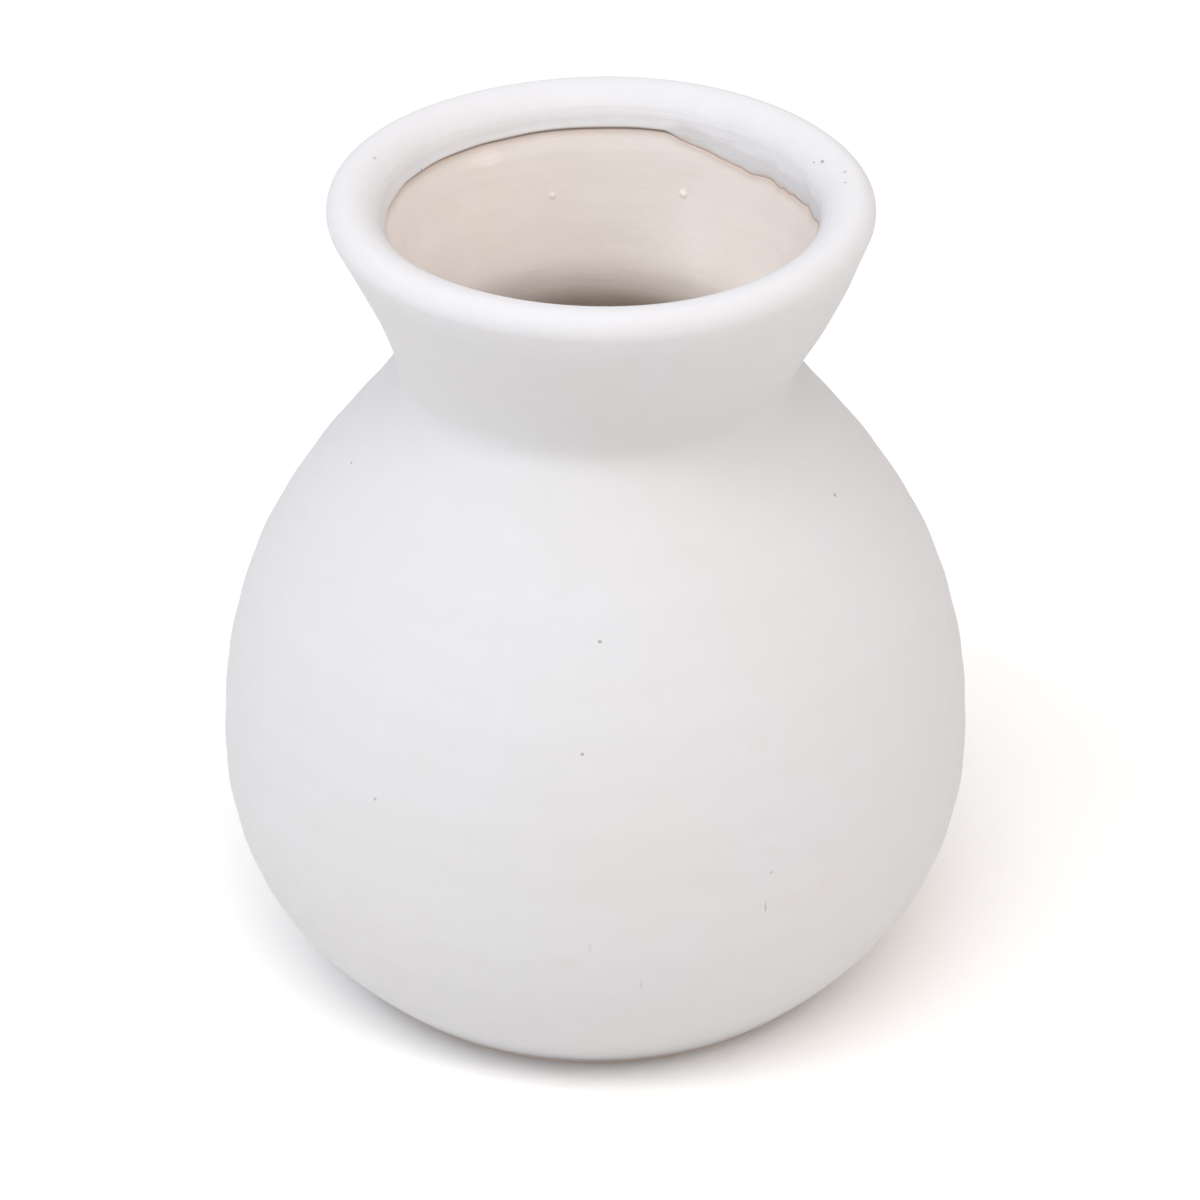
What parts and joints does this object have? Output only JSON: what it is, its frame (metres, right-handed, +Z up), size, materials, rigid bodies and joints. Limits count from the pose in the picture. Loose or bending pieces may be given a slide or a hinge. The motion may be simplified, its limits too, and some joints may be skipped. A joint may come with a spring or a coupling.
{
  "type": "ceramic vase",
  "caption": "Small round-bellied ceramic vase with a flared collar neck, a thick rolled lip, a matte white coat outside and clear glaze inside.",
  "frame": {"origin": "centre of the flat foot, on the surface the vase stands on", "axes": "+Z up along the axis of body and collar; +Y away from the front view, +X to its right; round about Z"},
  "size_m": [0.108, 0.108, 0.121],
  "materials": {
    "fired_clay": "bare fired stoneware, matte",
    "white_coat": "matte white slip glaze, fine-grained",
    "liner_glaze": "clear gloss glaze over beige clay"
  },
  "bodies": {
    "root": {"clay_body": "fired_clay", "clay_collar": "fired_clay", "white_coat": "white_coat", "liner_glaze": "liner_glaze"}
  },
  "joints": []
}
